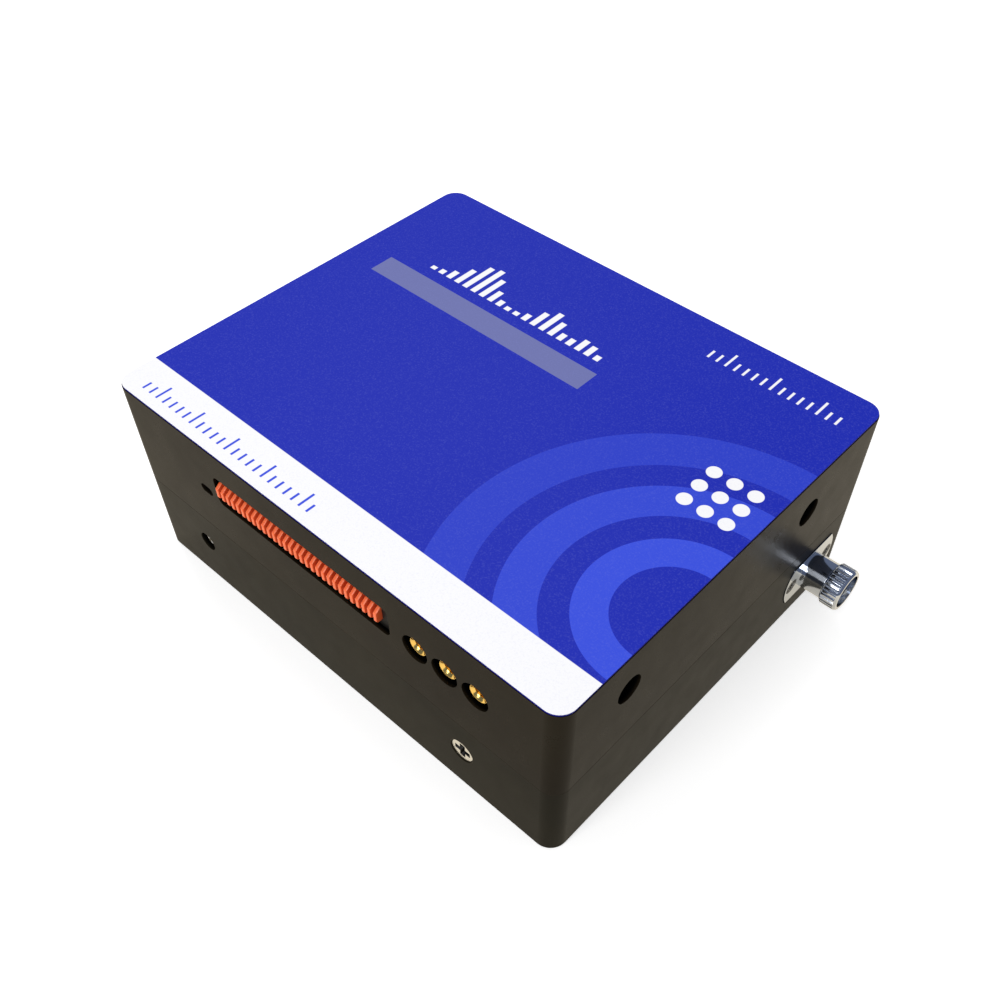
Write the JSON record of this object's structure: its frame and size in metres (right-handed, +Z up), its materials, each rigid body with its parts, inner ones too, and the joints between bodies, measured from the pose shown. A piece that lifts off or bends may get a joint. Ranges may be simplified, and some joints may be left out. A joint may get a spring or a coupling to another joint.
{
  "type": "fiber optic spectrometer",
  "caption": "Box-shaped fiber optic spectrometer: two-part milled housing, flanged fiber port with a knurled turning ring, coaxial jacks, a slot connector and a sealed optical bench inside.",
  "frame": {"origin": "centre of the base", "axes": "+X out of the short face with the fiber port, -Y out of the long face with the slot connector and the jacks, +Z up"},
  "size_m": [0.119, 0.0908, 0.043],
  "materials": {
    "black_anodised": "semi-gloss black anodised aluminium",
    "label_film": "matte printed polycarbonate film",
    "polished_nickel": "bright nickel plate",
    "gold_plate": "gold plated brass",
    "orange_plastic": "moulded orange plastic",
    "black_plastic": "moulded black plastic",
    "zinc_steel": "zinc plated steel screw",
    "black_steel": "black oxide steel screw",
    "white_plastic": "white insulator",
    "clear_plastic": "clear moulded light guide",
    "bare_aluminium": "machined aluminium",
    "board_green": "green circuit board",
    "optic_mirror": "aluminised glass",
    "optic_glass": "optical glass",
    "ceramic": "sensor package",
    "foam_rubber": "black foam seal"
  },
  "bodies": {
    "root": {"upper_housing": "black_anodised", "lower_housing": "black_anodised", "top_label": "label_film", "bench_lid": "black_anodised", "lid_gasket": "foam_rubber", "lid_screws": "zinc_steel", "cover_posts": "bare_aluminium", "post_screws": "zinc_steel", "cover_screws": "black_steel", "fibre_port_body": "polished_nickel", "port_screws": "zinc_steel", "ring_clip": "zinc_steel", "slit_disc": "black_steel", "slit_retainer": "black_anodised", "bracket_screw": "zinc_steel", "mirror_adjust_screw": "black_steel", "collimating_mirror": "optic_mirror", "collimating_mount": "bare_aluminium", "focusing_mirror": "optic_mirror", "focusing_mount": "bare_aluminium", "diffraction_grating": "optic_mirror", "grating_turntable": "bare_aluminium", "optic_screws": "zinc_steel", "turntable_screws": "zinc_steel", "detector_package": "ceramic", "sensor_strip": "black_plastic", "detector_window": "optic_glass", "order_filter": "optic_glass", "detector_board": "board_green", "detector_bracket": "bare_aluminium", "detector_board_screws": "zinc_steel", "detector_header": "black_plastic", "detector_socket": "black_plastic", "stray_light_baffle": "black_anodised", "light_trap": "black_anodised", "main_board": "board_green", "board_standoffs": "zinc_steel", "board_screws": "zinc_steel", "processor_chip": "black_plastic", "converter_chip": "black_plastic", "memory_chip": "black_plastic", "filter_capacitors": "bare_aluminium", "connector_comb": "orange_plastic", "connector_shroud": "black_plastic", "connector_contacts": "gold_plate", "trigger_jacks": "gold_plate", "jack_insulators": "white_plastic", "jack_contacts": "gold_plate", "light_guide": "clear_plastic", "status_light": "white_plastic", "data_socket_shell": "polished_nickel", "data_socket_tongue": "black_plastic", "data_socket_contacts": "gold_plate"},
    "ring": {"coupling_ring": "polished_nickel"}
  },
  "joints": [
    {"name": "ring_turn", "type": "hinge", "parent": "root", "child": "ring", "pos_m": [0.06215, 0.03185, 0.0102], "axis": [1, 0, 0], "continuous": true}
  ]
}
